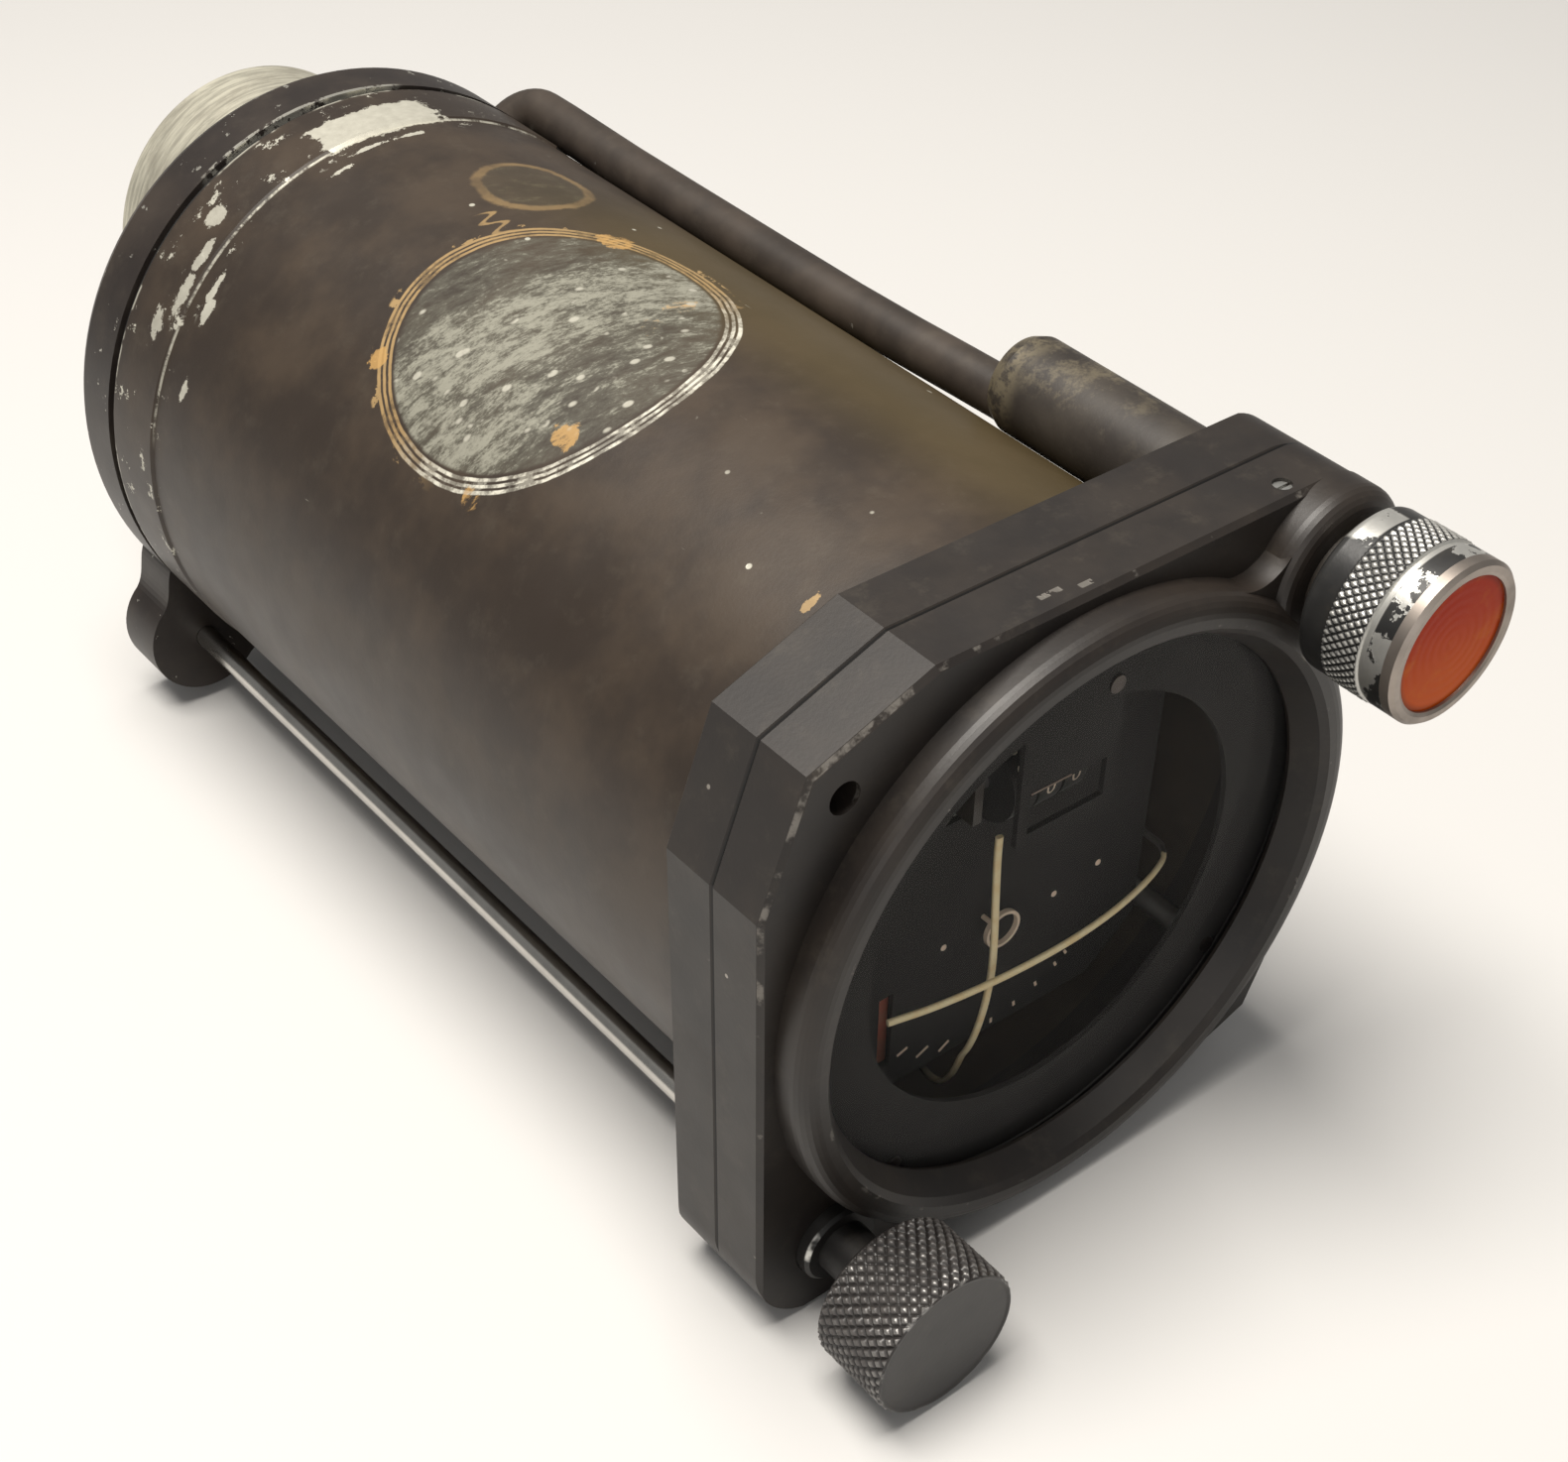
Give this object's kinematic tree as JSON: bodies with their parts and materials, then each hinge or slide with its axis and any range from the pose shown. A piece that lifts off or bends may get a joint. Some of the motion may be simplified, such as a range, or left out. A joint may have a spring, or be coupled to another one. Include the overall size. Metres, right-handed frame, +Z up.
{
  "type": "course indicator",
  "caption": "Round-case cross-pointer course indicator with a faceted flange, marker lamp, set knob, outside shaft and rear connector.",
  "frame": {"origin": "centre of the two-hole bolt circle on the flange's front face, on the case axis", "axes": "+Y along the case axis from the dial to the connector, +Z up, +X to the right seen from the front"},
  "size_m": [0.0826, 0.1883, 0.0826],
  "materials": {
    "case_black": "aged satin black paint",
    "ring_black": "semi-gloss black paint, worn on its edges",
    "cover_black": "satin black paint",
    "bare_aluminium": "machined",
    "chassis": "plain sheet and rod",
    "steel": "turned",
    "shaft_steel": "polished",
    "brass": "machined",
    "copper": null,
    "glass": "clear flat glass",
    "bulb_glass": "clear bulb on a metal base",
    "amber": "amber lens",
    "rubber": "matte",
    "dial_black": "matte black",
    "pointer_cream": "aged luminous cream",
    "flag_red": "faded red",
    "drum_black": "matte",
    "insulator": "moulded",
    "phenolic": "moulded",
    "gold": "plated contact"
  },
  "bodies": {
    "case": {"bezel": "ring_black", "bezel_screws": "steel", "case_flange": "cover_black", "mount_inserts": "brass", "case_can": "case_black", "glass": "glass", "glass_gasket": "rubber", "dial_mask": "dial_black", "mask_screws": "steel", "dial_plate": "dial_black", "centre_ring": "pointer_cream", "dial_posts": "chassis", "lamp_set_screw": "steel", "lamp_housing": "case_black", "lamp_socket": "phenolic", "lamp_bulb": "bulb_glass", "lamp_contact": "brass", "conduit": "case_black", "conduit_ferrule": "cover_black", "front_bushing": "steel", "rear_cover": "cover_black", "cover_seal": "rubber", "cover_screws": "steel", "connector_shell": "bare_aluminium", "connector_insert": "insulator", "connector_pins": "gold", "connector_screws": "steel", "resolver_body": "bare_aluminium", "resolver_stator": "copper", "drum_arbor": "steel", "counter_frame": "chassis", "v_magnet": "steel", "h_magnet": "steel", "flag_motor": "steel", "front_plate": "chassis", "rear_plate": "chassis", "tie_rods": "chassis"},
    "course_knob": {"set_knob": "cover_black", "knob_screw": "steel", "set_shaft": "shaft_steel", "set_pinion": "brass"},
    "marker_cap": {"lamp_cap": "cover_black", "lamp_lens": "amber", "lens_rim": "bare_aluminium"},
    "cluster": {"cluster_gear": "brass"},
    "course_resolver": {"main_gear": "brass", "resolver_rotor": "steel"},
    "counter_drive": {"counter_shaft": "steel", "bevel_wheel": "brass"},
    "cross_drive": {"cross_shaft": "steel", "step_gear": "brass"},
    "units": {"units_drum": "drum_black"},
    "tens": {"tens_drum": "drum_black"},
    "hundreds": {"hundreds_drum": "drum_black"},
    "vertical_needle": {"v_coil": "copper", "v_pointer": "pointer_cream"},
    "horizontal_needle": {"h_coil": "copper", "h_pointer": "pointer_cream"},
    "warning_flag": {"flag_vane": "flag_red"}
  },
  "joints": [
    {"name": "course_set", "type": "hinge", "parent": "case", "child": "course_knob", "pos_m": [-0.0311, 0, -0.0311], "axis": [0, 1, 0], "continuous": true},
    {"name": "cluster_turn", "type": "hinge", "parent": "case", "child": "cluster", "pos_m": [-0.02121, 0.142, -0.02329], "axis": [0, 1, 0], "continuous": true},
    {"name": "resolver_turn", "type": "hinge", "parent": "case", "child": "course_resolver", "pos_m": [0, 0.142, 0], "axis": [0, 1, 0], "continuous": true},
    {"name": "counter_shaft_turn", "type": "hinge", "parent": "case", "child": "counter_drive", "pos_m": [0.02547, 0.142, 0.01854], "axis": [0, 1, 0], "continuous": true},
    {"name": "cross_shaft_turn", "type": "hinge", "parent": "case", "child": "cross_drive", "pos_m": [0, 0.018, 0.01854], "axis": [1, 0, 0], "continuous": true},
    {"name": "units_turn", "type": "hinge", "parent": "case", "child": "units", "pos_m": [0, 0.009, 0.0152], "axis": [1, 0, 0], "continuous": true},
    {"name": "tens_turn", "type": "hinge", "parent": "case", "child": "tens", "pos_m": [0, 0.009, 0.0152], "axis": [1, 0, 0], "continuous": true},
    {"name": "hundreds_turn", "type": "hinge", "parent": "case", "child": "hundreds", "pos_m": [0, 0.009, 0.0152], "axis": [1, 0, 0], "continuous": true},
    {"name": "marker_cap_turn", "type": "hinge", "parent": "case", "child": "marker_cap", "pos_m": [0.0318, -0.012, 0.0318], "axis": [0, 1, 0], "range_deg": [0, 90]},
    {"name": "vertical_needle_swing", "type": "hinge", "parent": "case", "child": "vertical_needle", "pos_m": [0, 0.04, -0.027], "axis": [0, 0, 1], "range_deg": [-7.2, 22.7], "stiffness_Nm_per_rad": 0.002},
    {"name": "horizontal_needle_swing", "type": "hinge", "parent": "case", "child": "horizontal_needle", "pos_m": [0, 0.04, -0.0093], "axis": [1, 0, 0], "range_deg": [-15, 15], "stiffness_Nm_per_rad": 0.002},
    {"name": "flag_swing", "type": "hinge", "parent": "case", "child": "warning_flag", "pos_m": [-0.0235, 0.012, 0], "axis": [0, 1, 0], "range_deg": [0, 16]}
  ],
  "couplings": [
    {"joint": "cluster_turn", "follows": "course_set", "ratio": -0.5},
    {"joint": "resolver_turn", "follows": "course_set", "ratio": 0.083333},
    {"joint": "counter_shaft_turn", "follows": "course_set", "ratio": -0.5},
    {"joint": "cross_shaft_turn", "follows": "course_set", "ratio": -1},
    {"joint": "units_turn", "follows": "course_set", "ratio": 3},
    {"joint": "tens_turn", "follows": "course_set", "ratio": 0.3},
    {"joint": "hundreds_turn", "follows": "course_set", "ratio": 0.03}
  ]
}
